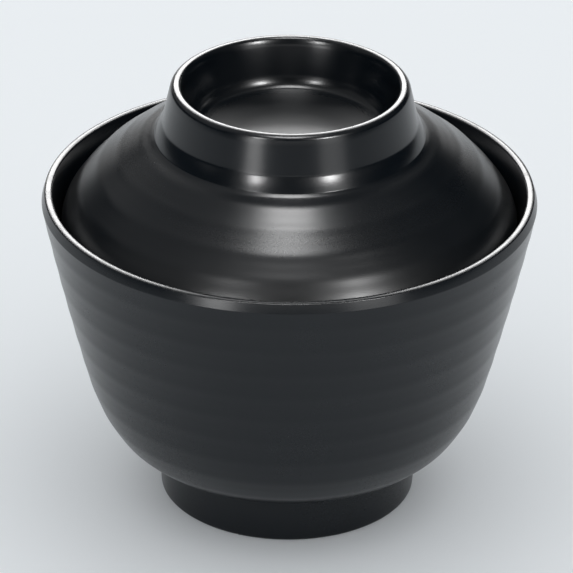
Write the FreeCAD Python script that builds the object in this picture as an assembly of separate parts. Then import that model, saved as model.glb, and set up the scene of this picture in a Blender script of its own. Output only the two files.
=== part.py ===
import FreeCAD, Part
import math
import os

# A covered rice bowl of moulded melamine, in two pieces: the bowl on its foot ring, and the lid,
# which rests inside the mouth and carries a grip ring that is also its foot when it lies upside down.
#
# Millimetres. Z is the axis that both pieces are turned about, and it points up.
# The origin is the centre of the flat face that the foot ring stands on.
# Each piece is one outline in the half-plane of radius and height, turned about Z. An outline runs
# clockwise, from the axis along the upper side and back along the lower side, so the open air is
# always on the left of its heading. Pairs of numbers are (radius, height).

# Bowl: the rim, with a crowned top, a small round on each side of it, and a flat bevel outside.
BOWL_HEIGHT = 75.0
LIP_RADIUS = 54.57
LIP_CROWN = 1.8
LIP_INNER_ANGLE = 110.0
LIP_OUTER_ANGLE = 68.0
MOUTH = (53.6, 74.53)
MOUTH_HEADING = 72.0
BEVEL_TOP = (55.41, 74.69)
BEVEL_FOOT = (55.98, 72.8)

# Bowl: the wall, from the lower edge of the rim's bevel to the root of the foot ring.
WALL_STATIONS = [(56.0, 72.5), (52.15, 55.0), (47.5, 36.0), (42.75, 22.0), (36.3, 14.0), (31.0, 11.3)]
WALL_THICKNESS = 2.95
FLOOR_HEIGHT = 10.5
FLOOR_FLAT_RADIUS = 14.0

# Bowl: the foot ring, and the recess that it surrounds.
FOOT_TOP = (29.7, 9.3)
FOOT_RADIUS = 29.15
FOOT_EDGE = 0.75
FOOT_LAND = (27.0, 28.4)
FOOT_INNER_BOTTOM = (26.35, 0.65)
FOOT_INNER_TOP = (26.0, 5.5)
RECESS_HEIGHT = 7.5
RECESS_FLAT_RADIUS = 24.0

# Lid: the grip ring, its flat land, the dished floor inside it, and the moulding round its foot.
LID_HEIGHT = 101.25
RING_LAND = (25.35, 25.65)
RING_LIP_SHOULDER = (24.55, 100.81)
RING_INNER_LIP = (23.93, 99.3)
RING_INNER_FOOT = (22.54, 93.19)
RING_COVE = (21.6, 90.99)
RING_FLOOR_EDGE = (20.3, 90.1)
RING_FLOOR_HEIGHT = 89.1
RING_FLOOR_FLAT_RADIUS = 12.0
RING_OUTER_LIP = (27.0, 100.2)
RING_OUTER_FOOT = (28.7, 92.8)
MOULDING_TOP = (28.98, 92.1)
MOULDING_FOOT = (30.45, 89.15)
DOME_CORNER = (30.57, 88.99)

# Lid: the dome, from the foot of the moulding to its widest point, and the rounded edge below.
DOME_STATIONS = [
    (31.25, 88.55), (35.0, 86.65), (39.0, 84.0), (43.0, 80.85),
    (46.0, 77.8), (48.6, 74.65), (50.6, 71.6), (51.5, 68.9),
]
DOME_THICKNESS = 2.5
EDGE_BOTTOM = (50.35, 67.5)
EDGE_INNER = (49.25, 68.5)
CEILING_HEIGHT = 86.9
CEILING_FLAT_RADIUS = 24.0

# Ribs, like marks of turning, with narrow crests and broad hollows. Distances run down the smooth
# surface from its upper end: "crest" is the distance to the first crest, and "fade" is the length
# over which the ribs die away at the lower end.
RIB_SHARPNESS = 0.25
RIB_POINTS = 8
WALL_RIB = {"height": 0.07, "pitch": 6.7, "crest": 4.5, "fade": 6.7}
DOME_RIB = {"height": 0.10, "pitch": 6.0, "crest": 2.5, "fade": 12.0}

# Where the inside follows the outside: shares of the smooth surface's length, from its lower end.
WALL_INSIDE_SHARES = (1.0, 0.9, 0.8, 0.65, 0.45, 0.2)
DOME_INSIDE_SHARES = (0.85, 0.7, 0.5, 0.3, 0.1)


def point(radius, height):
    """A point of an outline."""
    return FreeCAD.Vector(radius, 0, height)


def direction(degrees):
    """A heading in the outline's half-plane: 0 is away from the axis, and 90 is up."""
    turn = math.radians(degrees)
    return FreeCAD.Vector(math.cos(turn), 0, math.sin(turn))


def left_of(heading):
    """The direction a quarter turn to the left of a heading."""
    return FreeCAD.Vector(-heading.z, 0, heading.x)


class Outline:
    """A pen that draws one edge after another, and keeps the heading that each one ends with."""

    def __init__(self, start):
        self.edges = []
        self.tip = start
        self.heading = direction(0)

    def add(self, edge, end, heading):
        self.edges.append(edge)
        self.tip = end
        self.heading = heading

    def line_to(self, end):
        """A straight run."""
        heading = (end - self.tip).normalize()
        self.add(Part.LineSegment(self.tip, end).toShape(), end, heading)

    def arc_to(self, end):
        """The arc that carries on along the heading and reaches the end."""
        chord = end - self.tip
        towards_centre = left_of(self.heading)
        swing = chord.dot(chord) / (2 * chord.dot(towards_centre))
        centre = self.tip + towards_centre * swing
        to_middle = (self.tip - centre) + (end - centre)
        middle = centre + to_middle.normalize() * abs(swing)
        arc = Part.Arc(self.tip, middle, end).toShape()
        unit = chord.normalize()
        self.add(arc, end, unit * (2 * unit.dot(self.heading)) - self.heading)

    def curve_through(self, points):
        """One smooth curve from the tip through the points."""
        spline = Part.BSplineCurve()
        spline.interpolate([self.tip] + points)
        heading = spline.tangent(spline.LastParameter)[0]
        self.add(spline.toShape(), points[-1], heading)

    def curve_between(self, points, end_heading):
        """One smooth curve that also carries on along the heading, and ends along another."""
        spline = Part.BSplineCurve()
        spline.interpolate([self.tip] + points, InitialTangent=self.heading, FinalTangent=end_heading)
        self.add(spline.toShape(), points[-1], end_heading)

    def turned(self):
        """The solid that the closed outline makes about the Z axis."""
        face = Part.Face(Part.Wire(self.edges))
        return face.revolve(FreeCAD.Vector(0, 0, 0), FreeCAD.Vector(0, 0, 1), 360)


def smooth_edge(stations):
    """The smooth curve through stations of (radius, height), with no ribs on it."""
    spline = Part.BSplineCurve()
    spline.interpolate([point(*station) for station in stations])
    return spline.toShape()


def beside(edge, distance, offset):
    """The point at a distance along an edge, and then an offset to its left."""
    parameter = edge.getParameterByLength(distance)
    return edge.valueAt(parameter) + left_of(edge.tangentAt(parameter)) * offset


def rib_rise(distance, length, rib):
    """How far a ribbed surface stands off its smooth one, at a distance along its whole length."""
    fade = min(1, (length - distance) / rib["fade"])
    turn = 2 * math.pi * (distance - rib["crest"]) / rib["pitch"]
    return fade * rib["height"] / 2 * (math.cos(turn) + RIB_SHARPNESS * math.cos(2 * turn))


def ribbed_points(edge, rib):
    """Points along an edge, moved off it by its ribs."""
    steps = round(edge.Length / rib["pitch"] * RIB_POINTS)
    distances = [edge.Length * (step / steps) for step in range(steps + 1)]
    return [beside(edge, distance, rib_rise(distance, edge.Length, rib)) for distance in distances]


def inside_points(edge, shares, thickness):
    """Points under an edge, from its lower end to its upper end, a thickness below it."""
    return [beside(edge, edge.Length * share, -thickness) for share in shares]


def make_bowl():
    """The bowl: inner floor and wall, rim, ribbed outer wall, foot ring and recess."""
    wall = smooth_edge(WALL_STATIONS)
    outer_wall = ribbed_points(wall, WALL_RIB)
    crown = point(LIP_RADIUS, BOWL_HEIGHT - LIP_CROWN)

    outline = Outline(point(0, FLOOR_HEIGHT))
    outline.line_to(point(FLOOR_FLAT_RADIUS, FLOOR_HEIGHT))
    inner_wall = inside_points(wall, WALL_INSIDE_SHARES, WALL_THICKNESS)
    outline.curve_between(inner_wall + [point(*MOUTH)], direction(MOUTH_HEADING))
    outline.arc_to(crown + direction(LIP_INNER_ANGLE) * LIP_CROWN)
    outline.arc_to(crown + direction(LIP_OUTER_ANGLE) * LIP_CROWN)
    outline.arc_to(point(*BEVEL_TOP))
    outline.line_to(point(*BEVEL_FOOT))
    outline.arc_to(outer_wall[0])
    outline.curve_through(outer_wall[1:])
    outline.arc_to(point(*FOOT_TOP))
    outline.line_to(point(FOOT_RADIUS, FOOT_EDGE))
    outline.arc_to(point(FOOT_LAND[1], 0))
    outline.line_to(point(FOOT_LAND[0], 0))
    outline.arc_to(point(*FOOT_INNER_BOTTOM))
    outline.line_to(point(*FOOT_INNER_TOP))
    outline.arc_to(point(RECESS_FLAT_RADIUS, RECESS_HEIGHT))
    outline.line_to(point(0, RECESS_HEIGHT))
    outline.line_to(point(0, FLOOR_HEIGHT))
    return outline.turned()


def make_lid():
    """The lid: floor of the ring, grip ring, ribbed dome, rounded edge and hollow underside."""
    dome = smooth_edge(DOME_STATIONS)
    outer_dome = ribbed_points(dome, DOME_RIB)
    underside = inside_points(dome, DOME_INSIDE_SHARES, DOME_THICKNESS)

    outline = Outline(point(0, RING_FLOOR_HEIGHT))
    outline.line_to(point(RING_FLOOR_FLAT_RADIUS, RING_FLOOR_HEIGHT))
    outline.arc_to(point(*RING_FLOOR_EDGE))
    outline.arc_to(point(*RING_COVE))
    outline.arc_to(point(*RING_INNER_FOOT))
    outline.line_to(point(*RING_INNER_LIP))
    outline.arc_to(point(*RING_LIP_SHOULDER))
    outline.arc_to(point(RING_LAND[0], LID_HEIGHT))
    outline.line_to(point(RING_LAND[1], LID_HEIGHT))
    outline.arc_to(point(*RING_OUTER_LIP))
    outline.line_to(point(*RING_OUTER_FOOT))
    outline.arc_to(point(*MOULDING_TOP))
    outline.arc_to(point(*MOULDING_FOOT))
    outline.arc_to(point(*DOME_CORNER))
    outline.arc_to(outer_dome[0])
    outline.curve_through(outer_dome[1:])
    outline.arc_to(point(*EDGE_BOTTOM))
    outline.arc_to(point(*EDGE_INNER))
    outline.curve_between(underside + [point(CEILING_FLAT_RADIUS, CEILING_HEIGHT)], direction(180))
    outline.line_to(point(0, CEILING_HEIGHT))
    outline.line_to(point(0, RING_FLOOR_HEIGHT))
    return outline.turned()


def main():
    os.makedirs("parts", exist_ok=True)
    make_bowl().exportStep("parts/bowl.step")
    make_lid().exportStep("parts/lid.step")


main()
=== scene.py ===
import math

import bpy
import numpy as np
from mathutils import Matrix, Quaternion, Vector


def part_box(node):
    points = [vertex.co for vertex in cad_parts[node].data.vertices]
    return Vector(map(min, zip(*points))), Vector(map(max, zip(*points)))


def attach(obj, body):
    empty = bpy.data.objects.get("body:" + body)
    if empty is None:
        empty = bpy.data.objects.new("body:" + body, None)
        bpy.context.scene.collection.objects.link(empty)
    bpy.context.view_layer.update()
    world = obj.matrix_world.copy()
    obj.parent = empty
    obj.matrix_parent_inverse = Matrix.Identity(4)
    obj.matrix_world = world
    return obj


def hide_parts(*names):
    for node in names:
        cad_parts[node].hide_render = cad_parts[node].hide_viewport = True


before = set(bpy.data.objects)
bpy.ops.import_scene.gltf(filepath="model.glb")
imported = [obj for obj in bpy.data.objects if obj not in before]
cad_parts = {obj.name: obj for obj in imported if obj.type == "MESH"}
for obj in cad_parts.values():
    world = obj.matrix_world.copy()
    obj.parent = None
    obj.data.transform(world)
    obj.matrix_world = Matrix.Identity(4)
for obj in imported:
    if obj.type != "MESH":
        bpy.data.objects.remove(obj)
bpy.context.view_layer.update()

# A covered rice bowl of satin black melamine: the bowl on its foot ring, and the lid with its grip
# ring. Each piece is one outline in the half-plane of radius and height, turned about Z at a much
# finer pitch than the CAD mesh. An outline runs from the axis along the upper side and back along
# the lower side. Lengths on the bowl and the lid are in millimetres, and pairs of them are (radius,
# height). The scene itself, its floor and its lights are in metres.
MM = 0.001

bowl_low, bowl_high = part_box("bowl")
lid_low, lid_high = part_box("lid")
BOWL_HEIGHT = bowl_high.z / MM
LID_HEIGHT = lid_high.z / MM
LID_BOTTOM = lid_low.z / MM

# Bowl: the rim, with a crowned top, a small round on each side of it, and a flat bevel outside.
LIP_RADIUS = 54.57
LIP_CROWN = 1.8
LIP_INNER_ANGLE = 110.0
LIP_OUTER_ANGLE = 68.0
MOUTH = (53.6, 74.53)
MOUTH_HEADING = 72.0
BEVEL_TOP = (55.41, 74.69)
BEVEL_FOOT = (55.98, 72.8)

# Bowl: the wall, from the lower edge of the rim's bevel to the root of the foot ring.
WALL_STATIONS = [(56.0, 72.5), (52.15, 55.0), (47.5, 36.0), (42.75, 22.0), (36.3, 14.0), (31.0, 11.3)]
WALL_THICKNESS = 2.95
FLOOR_HEIGHT = 10.5
FLOOR_FLAT_RADIUS = 14.0

# Bowl: the foot ring, and the recess that it surrounds.
FOOT_TOP = (29.7, 9.3)
FOOT_RADIUS = 29.15
FOOT_EDGE = 0.75
FOOT_LAND = (27.0, 28.4)
FOOT_INNER_BOTTOM = (26.35, 0.65)
FOOT_INNER_TOP = (26.0, 5.5)
RECESS_HEIGHT = 7.5
RECESS_FLAT_RADIUS = 24.0

# Lid: the grip ring, its flat land, the dished floor inside it, and the moulding round its foot.
RING_LAND = (25.35, 25.65)
RING_LIP_SHOULDER = (24.55, 100.81)
RING_INNER_LIP = (23.93, 99.3)
RING_INNER_FOOT = (22.54, 93.19)
RING_COVE = (21.6, 90.99)
RING_FLOOR_EDGE = (20.3, 90.1)
RING_FLOOR_HEIGHT = 89.1
RING_FLOOR_FLAT_RADIUS = 12.0
RING_OUTER_LIP = (27.0, 100.2)
RING_OUTER_FOOT = (28.7, 92.8)
MOULDING_TOP = (28.98, 92.1)
MOULDING_FOOT = (30.45, 89.15)
DOME_CORNER = (30.57, 88.99)

# Lid: the dome, from the foot of the moulding to its widest point, and the rounded edge below.
DOME_STATIONS = [
    (31.25, 88.55), (35.0, 86.65), (39.0, 84.0), (43.0, 80.85),
    (46.0, 77.8), (48.6, 74.65), (50.6, 71.6), (51.5, 68.9),
]
DOME_THICKNESS = 2.5
EDGE_BOTTOM = (50.35, LID_BOTTOM)
EDGE_INNER = (49.25, 68.5)
CEILING_HEIGHT = 86.9
CEILING_FLAT_RADIUS = 24.0

# Ribs, like marks of turning, with narrow crests and broad hollows. Distances run down the smooth
# surface from its upper end: "crest" is the distance to the first crest, and "fade" is the length
# over which the ribs die away at the lower end.
RIB_SHARPNESS = 0.25
WALL_RIB = {"height": 0.07, "pitch": 6.7, "crest": 4.5, "fade": 6.7}
DOME_RIB = {"height": 0.10, "pitch": 6.0, "crest": 2.5, "fade": 12.0}

# Where the inside follows the outside: shares of the smooth surface's length, from its lower end.
WALL_INSIDE_SHARES = (1.0, 0.9, 0.8, 0.65, 0.45, 0.2)
DOME_INSIDE_SHARES = (0.85, 0.7, 0.5, 0.3, 0.1)

# Mesh: the longest runs along curved and straight parts of an outline, the fewest runs in an arc,
# the number of faces round the axis, and the angle in degrees from which an edge is drawn sharp.
RUN = 0.45
STRAIGHT_RUN = 3 * RUN
ARC_STEPS = 6
TURNS = 256
SHARP_ANGLE = 20.0

# Mesh: the fine runs that distances along a surface are measured on, and how far each way from a
# point its heading is taken.
FINE_RUN = 0.05
HEADING_REACH = 0.1

# Finish: roughness at two heights on each body, and how much rougher the flat floors on the axis are.
SATIN = {
    "bowl": ((0.0, 0.26), (BOWL_HEIGHT, 0.25)),
    "lid": ((68.0, 0.38), (90.0, 0.23)),
}
ROUGH_FLOOR_RADIUS = 18.0
ROUGH_FLOOR_END = 20.0
ROUGH_FLOOR_GAIN = 0.12
SPECULAR_LEVEL = 0.33
REFRACTIVE_INDEX = 1.5

# Finish: a slow cloudiness, a fine grain, and turning marks. Scales are in cells to the metre, depths
# in millimetres, and gains are the most that roughness changes. Noise is used between two levels.
CLOUD_SCALE = 45.0
CLOUD_DETAIL = 3.0
CLOUD_GAIN = 0.02
GRAIN_SCALE = 2200.0
GRAIN_GAIN = 0.015
GRAIN_DEPTH = 0.001
TURNING_SCALE = 1400.0
TURNING_DEPTH = 0.0015
FINE_DETAIL = 2.0
NOISE_LOW = 0.3
NOISE_HIGH = 0.7
DARK = (0.0016, 0.0036, 0.0060, 1)
LESS_DARK = (0.0028, 0.0050, 0.0076, 1)

# Finish: small scuffs near the edges that touch a table or each other, as (height, reach).
SCUFFED = {
    "bowl": ((0.0, 0.8), (BOWL_HEIGHT, 0.5)),
    "lid": ((LID_HEIGHT, 0.5), (LID_BOTTOM, 0.7)),
}
SCUFF_SCALE = 260.0
SCUFF_DETAIL = 4.0
SCUFF_LOW = 0.48
SCUFF_HIGH = 0.62
SCUFF_GAIN = 0.06
SCUFF_TINT = 0.3
WORN = (0.02, 0.021, 0.022, 1)

# Camera: the point that it looks at, in millimetres, its height above the horizontal and its roll in
# degrees, its distance in metres, and its lens and sensor in millimetres.
AIM = (-0.5, 0, 50.1)
CAMERA_ELEVATION = 27.8
CAMERA_DISTANCE = 1.2
CAMERA_ROLL = 0.5
SENSOR_WIDTH = 36.0
LENS = 330.47
CLIP_START = 0.05

# Studio: the floor, the pale surroundings, and the height above the floor that every light aims at.
FLOOR_SIZE = 6.0
FLOOR_COLOUR = (0.9, 0.92, 0.94, 1)
FLOOR_ROUGHNESS = 0.9
FLOOR_SPECULAR = 0.1
SURROUNDINGS_COLOUR = (0.96, 0.985, 1, 1)
SURROUNDINGS_STRENGTH = 0.86
LIGHT_AIM_HEIGHT = 0.08


def heading_of(degrees):
    """A heading in the outline's half-plane: 0 is away from the axis, and 90 is up."""
    turn = math.radians(degrees)
    return np.array((math.cos(turn), math.sin(turn)))


def left_of(heading):
    """The direction a quarter turn to the left of a heading."""
    return np.array((-heading[1], heading[0]))


def unit(vector):
    """The same direction, one long."""
    return vector / np.linalg.norm(vector)


def angle_of(vector):
    """The angle of a direction, in radians."""
    return math.atan2(vector[1], vector[0])


class Spline:
    """The smooth cubic curve through some points, with stated or free headings at its ends."""

    def __init__(self, points, start=None, end=None):
        self.points = np.array(points, float)
        chords = np.linalg.norm(np.diff(self.points, axis=0), axis=1)
        self.knots = np.concatenate([[0], np.cumsum(chords)])
        self.slopes = self.smooth_slopes(chords, start, end)

    def smooth_slopes(self, chords, start, end):
        """The slope at each point that makes the curve bend evenly through it."""
        count = len(self.points)
        system = np.zeros((count, count))
        wanted = np.zeros((count, 2))
        for place in range(1, count - 1):
            before = chords[place - 1]
            after = chords[place]
            system[place, place - 1:place + 2] = (1 / before, 2 / before + 2 / after, 1 / after)
            step_in = (self.points[place] - self.points[place - 1]) / before ** 2
            step_out = (self.points[place + 1] - self.points[place]) / after ** 2
            wanted[place] = 3 * (step_in + step_out)
        for place, other, chord, heading in ((0, 1, chords[0], start), (-1, -2, chords[-1], end)):
            if heading is None:
                first, second = sorted((place, other))
                system[place, place] = 2
                system[place, other] = 1
                wanted[place] = 3 * (self.points[second] - self.points[first]) / chord
            else:
                system[place, place] = 1
                wanted[place] = heading
        return np.linalg.solve(system, wanted)

    def at(self, knot):
        """The point at a distance measured along the chords."""
        span = int(np.clip(np.searchsorted(self.knots, knot) - 1, 0, len(self.knots) - 2))
        width = self.knots[span + 1] - self.knots[span]
        share = (knot - self.knots[span]) / width
        left = 1 - share
        near = self.points[span]
        far = self.points[span + 1]
        near_slope = self.slopes[span] * width
        far_slope = self.slopes[span + 1] * width
        return (near * (1 + 2 * share) * left ** 2 + near_slope * share * left ** 2
                + far * share * share * (3 - 2 * share) - far_slope * share * share * left)

    def sampled(self, run):
        """Points along the whole curve, no more than a run apart on its chords."""
        steps = math.ceil(self.knots[-1] / run)
        return [self.at(self.knots[-1] * step / steps) for step in range(steps + 1)]


class Surface:
    """A smooth surface line through some stations, measured by distance along it."""

    def __init__(self, stations):
        self.points = np.array(Spline(stations).sampled(FINE_RUN))
        runs = np.linalg.norm(np.diff(self.points, axis=0), axis=1)
        self.distances = np.concatenate([[0], np.cumsum(runs)])
        self.length = self.distances[-1]

    def at(self, distance):
        """The point at a distance along the surface."""
        return np.array([np.interp(distance, self.distances, column) for column in self.points.T])

    def beside(self, distance, offset):
        """The point at a distance along the surface, and then an offset to its left."""
        ahead = self.at(min(distance + HEADING_REACH, self.length))
        behind = self.at(max(distance - HEADING_REACH, 0))
        return self.at(distance) + left_of(unit(ahead - behind)) * offset


class Outline:
    """A pen that draws one run of points after another, and keeps the heading that each ends with."""

    def __init__(self, radius, height):
        self.points = [np.array((radius, height))]
        self.heading = heading_of(0)

    def line_to(self, end):
        """A straight run."""
        end = np.array(end)
        start = self.points[-1]
        steps = max(1, math.ceil(np.linalg.norm(end - start) / STRAIGHT_RUN))
        self.points += [start + (end - start) * step / steps for step in range(1, steps + 1)]
        self.heading = unit(end - start)

    def arc_to(self, end):
        """The arc that carries on along the heading and reaches the end."""
        end = np.array(end)
        start = self.points[-1]
        chord = end - start
        towards_centre = left_of(self.heading)
        swing = chord @ chord / (2 * chord @ towards_centre)
        centre = start + towards_centre * swing
        first = angle_of(start - centre)
        turn = angle_of(end - centre) - first
        if swing > 0:
            turn %= 2 * math.pi
        else:
            turn = -(-turn % (2 * math.pi))
        steps = max(ARC_STEPS, math.ceil(abs(turn * swing) / RUN))
        for step in range(1, steps + 1):
            angle = first + turn * step / steps
            self.points.append(centre + abs(swing) * np.array((math.cos(angle), math.sin(angle))))
        along = unit(chord)
        self.heading = 2 * (along @ self.heading) * along - self.heading

    def curve_between(self, points, end_heading):
        """One smooth curve that carries on along the heading, and ends along another."""
        spline = Spline([self.points[-1]] + list(points), self.heading, end_heading)
        self.points += spline.sampled(RUN)[1:]
        self.heading = end_heading

    def follow(self, points):
        """Points that are close together already, and start at the tip."""
        self.points += points[1:]
        self.heading = unit(points[-1] - points[-2])


def rib_rise(distance, length, rib):
    """How far a ribbed surface stands off its smooth one, at a distance along its whole length."""
    fade = min(1, (length - distance) / rib["fade"])
    turn = 2 * math.pi * (distance - rib["crest"]) / rib["pitch"]
    return fade * rib["height"] / 2 * (math.cos(turn) + RIB_SHARPNESS * math.cos(2 * turn))


def ribbed_points(surface, rib):
    """Points along a surface, moved off it by its ribs."""
    steps = round(surface.length / RUN)
    distances = [surface.length * step / steps for step in range(steps + 1)]
    return [surface.beside(distance, rib_rise(distance, surface.length, rib)) for distance in distances]


def inside_points(surface, shares, thickness):
    """Points under a surface, from its lower end to its upper end, a thickness below it."""
    return [surface.beside(surface.length * share, -thickness) for share in shares]


def bowl_outline():
    """The bowl: inner floor and wall, rim, ribbed outer wall, foot ring and recess."""
    wall = Surface(WALL_STATIONS)
    outer_wall = ribbed_points(wall, WALL_RIB)
    inner_wall = inside_points(wall, WALL_INSIDE_SHARES, WALL_THICKNESS)
    crown = np.array((LIP_RADIUS, BOWL_HEIGHT - LIP_CROWN))

    outline = Outline(0, FLOOR_HEIGHT)
    outline.line_to((FLOOR_FLAT_RADIUS, FLOOR_HEIGHT))
    outline.curve_between(inner_wall + [np.array(MOUTH)], heading_of(MOUTH_HEADING))
    outline.arc_to(crown + heading_of(LIP_INNER_ANGLE) * LIP_CROWN)
    outline.arc_to(crown + heading_of(LIP_OUTER_ANGLE) * LIP_CROWN)
    outline.arc_to(BEVEL_TOP)
    outline.line_to(BEVEL_FOOT)
    outline.arc_to(outer_wall[0])
    outline.follow(outer_wall)
    outline.arc_to(FOOT_TOP)
    outline.line_to((FOOT_RADIUS, FOOT_EDGE))
    outline.arc_to((FOOT_LAND[1], 0))
    outline.line_to((FOOT_LAND[0], 0))
    outline.arc_to(FOOT_INNER_BOTTOM)
    outline.line_to(FOOT_INNER_TOP)
    outline.arc_to((RECESS_FLAT_RADIUS, RECESS_HEIGHT))
    outline.line_to((0, RECESS_HEIGHT))
    return outline.points


def lid_outline():
    """The lid: floor of the ring, grip ring, ribbed dome, rounded edge and hollow underside."""
    dome = Surface(DOME_STATIONS)
    outer_dome = ribbed_points(dome, DOME_RIB)
    underside = inside_points(dome, DOME_INSIDE_SHARES, DOME_THICKNESS)
    ceiling_edge = np.array((CEILING_FLAT_RADIUS, CEILING_HEIGHT))

    outline = Outline(0, RING_FLOOR_HEIGHT)
    outline.line_to((RING_FLOOR_FLAT_RADIUS, RING_FLOOR_HEIGHT))
    outline.arc_to(RING_FLOOR_EDGE)
    outline.arc_to(RING_COVE)
    outline.arc_to(RING_INNER_FOOT)
    outline.line_to(RING_INNER_LIP)
    outline.arc_to(RING_LIP_SHOULDER)
    outline.arc_to((RING_LAND[0], LID_HEIGHT))
    outline.line_to((RING_LAND[1], LID_HEIGHT))
    outline.arc_to(RING_OUTER_LIP)
    outline.line_to(RING_OUTER_FOOT)
    outline.arc_to(MOULDING_TOP)
    outline.arc_to(MOULDING_FOOT)
    outline.arc_to(DOME_CORNER)
    outline.arc_to(outer_dome[0])
    outline.follow(outer_dome)
    outline.arc_to(EDGE_BOTTOM)
    outline.arc_to(EDGE_INNER)
    outline.curve_between(underside + [ceiling_edge], heading_of(180))
    outline.line_to((0, CEILING_HEIGHT))
    return outline.points


def ring_corners(radius, height):
    """One ring of mesh corners round the axis."""
    corners = []
    for step in range(TURNS):
        angle = 2 * math.pi * step / TURNS
        corners.append((radius * math.cos(angle), radius * math.sin(angle), height))
    return corners


def turned_piece(name, outline):
    """The piece that an outline from axis to axis makes about Z."""
    rings = [corner * MM for corner in outline]
    middle = rings[1:-1]
    corners = [(0, 0, rings[0][1])]
    for radius, height in middle:
        corners += ring_corners(radius, height)
    corners.append((0, 0, rings[-1][1]))

    last_corner = len(corners) - 1
    last_ring = last_corner - TURNS
    faces = []
    for step in range(TURNS):
        following = (step + 1) % TURNS
        faces.append((0, 1 + step, 1 + following))
        faces.append((last_corner, last_ring + following, last_ring + step))
        for ring in range(len(middle) - 1):
            upper = 1 + ring * TURNS
            lower = upper + TURNS
            faces.append((upper + step, lower + step, lower + following, upper + following))

    mesh = bpy.data.meshes.new(name)
    mesh.from_pydata(corners, [], faces)
    mesh.validate()
    mesh.shade_smooth()
    mesh.set_sharp_from_angle(angle=math.radians(SHARP_ANGLE))
    piece = bpy.data.objects.new(name, mesh)
    bpy.context.scene.collection.objects.link(piece)
    return piece


class Nodes:
    """Adds nodes to a material and joins them up."""

    def __init__(self, material):
        self.tree = material.node_tree

    def add(self, kind, **settings):
        """A new node, with its settings."""
        node = self.tree.nodes.new(kind)
        for key, value in settings.items():
            setattr(node, key, value)
        return node

    def feed(self, node, *values):
        """Links or sets the node's first inputs, and gives its first output."""
        for socket, value in zip(node.inputs, values):
            if isinstance(value, bpy.types.NodeSocket):
                self.tree.links.new(value, socket)
            else:
                socket.default_value = value
        return node.outputs[0]

    def calculated(self, operation, *values):
        """A sum on some values."""
        return self.feed(self.add("ShaderNodeMath", operation=operation), *values)

    def ramped(self, value, low, high, to_low=0.0, to_high=1.0):
        """A value between low and high, spread between two others."""
        return self.feed(self.add("ShaderNodeMapRange"), value, low, high, to_low, to_high)

    def noise(self, place, scale, detail):
        """Smooth noise over some coordinates."""
        node = self.add("ShaderNodeTexNoise")
        self.tree.links.new(place, node.inputs["Vector"])
        node.inputs["Scale"].default_value = scale
        node.inputs["Detail"].default_value = detail
        return node.outputs["Fac"]

    def mixed(self, share, second, first):
        """A share of the second colour over the first, which is a colour or an output."""
        node = self.add("ShaderNodeMix", data_type="RGBA")
        self.tree.links.new(share, node.inputs["Factor"])
        if isinstance(first, bpy.types.NodeSocket):
            self.tree.links.new(first, node.inputs["A"])
        else:
            node.inputs["A"].default_value = first
        node.inputs["B"].default_value = second
        return node.outputs["Result"]

    def bumped(self, height, depth):
        """A bump node of a depth in millimetres."""
        node = self.add("ShaderNodeBump")
        node.inputs["Strength"].default_value = 1.0
        node.inputs["Distance"].default_value = depth * MM
        self.tree.links.new(height, node.inputs["Height"])
        return node


def scuffs(nodes, place, height, bands):
    """Where a surface is worn: patches of noise near some heights."""
    edge = 0.0
    patches = nodes.ramped(nodes.noise(place, SCUFF_SCALE, SCUFF_DETAIL), SCUFF_LOW, SCUFF_HIGH)
    for band_height, reach in bands:
        away = nodes.calculated("SUBTRACT", height, band_height * MM)
        away = nodes.calculated("ABSOLUTE", away)
        edge = nodes.calculated("MAXIMUM", nodes.ramped(away, 0.0, reach * MM, 1.0, 0.0), edge)
    return nodes.calculated("MULTIPLY", patches, edge)


def roughness(nodes, satin, height, radius, cloud, grain, worn):
    """Satin that changes with height, is rougher on the axis, and is slightly uneven."""
    (low, low_roughness), (high, high_roughness) = satin
    gloss = nodes.ramped(height, low * MM, high * MM, low_roughness, high_roughness)
    floor = nodes.ramped(radius, ROUGH_FLOOR_RADIUS * MM, ROUGH_FLOOR_END * MM, ROUGH_FLOOR_GAIN, 0.0)
    gloss = nodes.calculated("ADD", gloss, floor)
    for uneven, gain in ((cloud, CLOUD_GAIN), (grain, GRAIN_GAIN)):
        change = nodes.ramped(uneven, NOISE_LOW, NOISE_HIGH, -gain, gain)
        gloss = nodes.calculated("ADD", gloss, change)
    return nodes.calculated("ADD", gloss, nodes.calculated("MULTIPLY", worn, SCUFF_GAIN))


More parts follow.
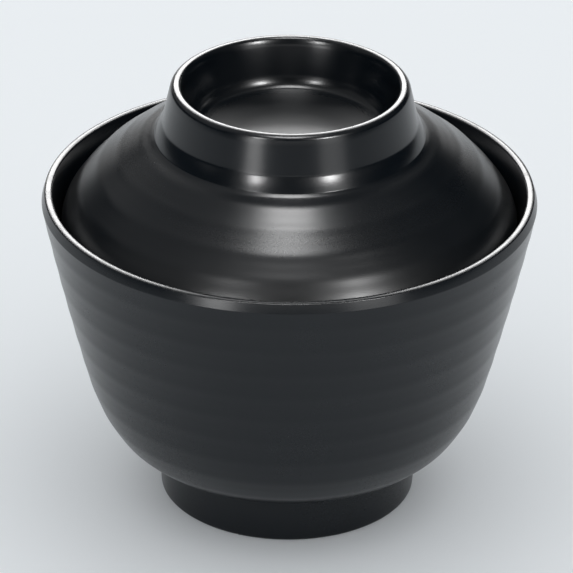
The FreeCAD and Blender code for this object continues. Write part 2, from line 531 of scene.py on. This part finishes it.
def melamine(name, satin, scuffed):
    """Satin black melamine: fine grain, faint turning marks, uneven gloss, and scuffs on its edges."""
    material = bpy.data.materials.new(name)
    material.use_nodes = True
    shader = material.node_tree.nodes["Principled BSDF"]
    shader.inputs["IOR"].default_value = REFRACTIVE_INDEX
    shader.inputs["Specular IOR Level"].default_value = SPECULAR_LEVEL

    nodes = Nodes(material)
    place = nodes.add("ShaderNodeTexCoord").outputs["Object"]
    apart = nodes.add("ShaderNodeSeparateXYZ")
    nodes.feed(apart, place)
    across, along, height = apart.outputs
    squares = [nodes.calculated("MULTIPLY", side, side) for side in (across, along)]
    radius = nodes.calculated("SQRT", nodes.calculated("ADD", *squares))
    round_axis = nodes.feed(nodes.add("ShaderNodeCombineXYZ"), radius, height, 0.0)
    cloud = nodes.noise(place, CLOUD_SCALE, CLOUD_DETAIL)
    grain = nodes.noise(place, GRAIN_SCALE, FINE_DETAIL)
    turning = nodes.noise(round_axis, TURNING_SCALE, FINE_DETAIL)
    worn = scuffs(nodes, place, height, scuffed)

    gloss = roughness(nodes, satin, height, radius, cloud, grain, worn)
    colour = nodes.mixed(nodes.ramped(cloud, NOISE_LOW, NOISE_HIGH), LESS_DARK, DARK)
    colour = nodes.mixed(nodes.calculated("MULTIPLY", worn, SCUFF_TINT), WORN, colour)
    fine = nodes.bumped(grain, GRAIN_DEPTH)
    marks = nodes.bumped(turning, TURNING_DEPTH)
    links = material.node_tree.links
    links.new(fine.outputs["Normal"], marks.inputs["Normal"])
    links.new(marks.outputs["Normal"], shader.inputs["Normal"])
    links.new(gloss, shader.inputs["Roughness"])
    links.new(colour, shader.inputs["Base Color"])
    return material


def make_pieces():
    """The bowl and the lid, in the place of their CAD nodes."""
    for body, outline in (("bowl", bowl_outline()), ("lid", lid_outline())):
        piece = turned_piece(body + "_turned", outline)
        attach(piece, body)
        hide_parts(body)
        piece.data.materials.append(melamine(body + "_satin", SATIN[body], SCUFFED[body]))


def direction_to(azimuth, elevation):
    """The direction of a place round the object: azimuth 0 is in front of it, and 90 to its right."""
    turn = math.radians(azimuth)
    rise = math.radians(elevation)
    return Vector((math.sin(turn) * math.cos(rise), -math.cos(turn) * math.cos(rise), math.sin(rise)))


def make_camera():
    """The camera, in front of the bowl and above it."""
    camera = bpy.data.objects.new("camera", bpy.data.cameras.new("camera"))
    bpy.context.scene.collection.objects.link(camera)
    back = direction_to(0, CAMERA_ELEVATION)
    camera.location = Vector(AIM) * MM + back * CAMERA_DISTANCE
    camera.rotation_mode = "QUATERNION"
    roll = Quaternion((0, 0, 1), math.radians(CAMERA_ROLL))
    camera.rotation_quaternion = (-back).to_track_quat("-Z", "Y") @ roll
    camera.data.lens = LENS
    camera.data.sensor_width = SENSOR_WIDTH
    camera.data.clip_start = CLIP_START
    bpy.context.scene.camera = camera


def make_floor():
    """A plain pale floor."""
    bpy.ops.mesh.primitive_plane_add(size=FLOOR_SIZE)
    floor = bpy.context.object
    floor.name = "floor"
    material = bpy.data.materials.new("floor")
    material.use_nodes = True
    shader = material.node_tree.nodes["Principled BSDF"]
    shader.inputs["Base Color"].default_value = FLOOR_COLOUR
    shader.inputs["Roughness"].default_value = FLOOR_ROUGHNESS
    shader.inputs["Specular IOR Level"].default_value = FLOOR_SPECULAR
    floor.data.materials.append(material)


def make_surroundings():
    """Even pale light from all round, which gloss doesn't show: the panels are what gloss shows."""
    world = bpy.data.worlds.new("studio")
    bpy.context.scene.world = world
    world.use_nodes = True
    background = world.node_tree.nodes["Background"]
    background.inputs["Color"].default_value = SURROUNDINGS_COLOUR
    background.inputs["Strength"].default_value = SURROUNDINGS_STRENGTH
    world.cycles_visibility.glossy = False


def panel(name, azimuth, elevation, distance, size, radiance, diffuse=False, glossy=True):
    """A rectangular light that faces the object. Most panels show in gloss only."""
    data = bpy.data.lights.new(name, "AREA")
    data.shape = "RECTANGLE"
    data.size, data.size_y = size
    data.energy = radiance * math.pi * data.size * data.size_y
    light = bpy.data.objects.new(name, data)
    bpy.context.scene.collection.objects.link(light)
    outward = direction_to(azimuth, elevation)
    light.location = Vector((0, 0, LIGHT_AIM_HEIGHT)) + outward * distance
    light.rotation_mode = "QUATERNION"
    light.rotation_quaternion = outward.to_track_quat("Z", "Y")
    light.visible_diffuse = diffuse
    light.visible_glossy = glossy


def make_lights():
    """Soft studio light: one fill, and the panels that gloss shows overhead and round the object."""
    panel("fill", azimuth=0, elevation=85, distance=2.2, size=(2.2, 2.2), radiance=0.30,
          diffuse=True, glossy=False)
    panel("overhead", azimuth=-4, elevation=84.5, distance=1.3, size=(0.40, 0.32), radiance=23)
    panel("overhead_low", azimuth=-4, elevation=69.5, distance=1.3, size=(0.40, 0.20), radiance=20)
    panel("overhead_glow", azimuth=-8, elevation=80, distance=1.35, size=(0.9, 0.9), radiance=0.8)
    panel("front_high", azimuth=-14, elevation=53, distance=1.5, size=(1.0, 0.4), radiance=0.45)
    panel("front_left", azimuth=-30, elevation=30, distance=1.3, size=(0.14, 0.22), radiance=66)
    panel("front_right", azimuth=37, elevation=32, distance=1.3, size=(0.20, 0.21), radiance=98)
    panel("strip_left", azimuth=-31, elevation=5, distance=1.3, size=(0.30, 0.5), radiance=8.5)
    panel("strip_right", azimuth=37.5, elevation=8, distance=1.3, size=(0.5, 0.6), radiance=2.8)
    panel("front", azimuth=0, elevation=9, distance=1.6, size=(3.0, 0.24), radiance=1.3)
    panel("left", azimuth=-108, elevation=45, distance=1.5, size=(2.2, 1.3), radiance=0.40)
    panel("left_back", azimuth=-140, elevation=22, distance=1.6, size=(1.2, 0.9), radiance=0.04)
    panel("right", azimuth=95, elevation=45, distance=1.5, size=(1.6, 1.4), radiance=0.1)
    panel("ceiling", azimuth=180, elevation=80, distance=1.7, size=(2.4, 2.4), radiance=0.13)
    panel("back", azimuth=-177, elevation=23, distance=1.5, size=(0.7, 0.44), radiance=12)
    panel("back_soft", azimuth=180, elevation=38, distance=1.6, size=(0.9, 0.8), radiance=5.5)
    panel("backdrop", azimuth=180, elevation=4, distance=1.7, size=(2.2, 0.55), radiance=0.65)


def set_view():
    """Plain colours, with no film look."""
    view = bpy.context.scene.view_settings
    view.view_transform = "Standard"
    view.look = "None"


make_pieces()
make_camera()
make_floor()
make_surroundings()
make_lights()
set_view()
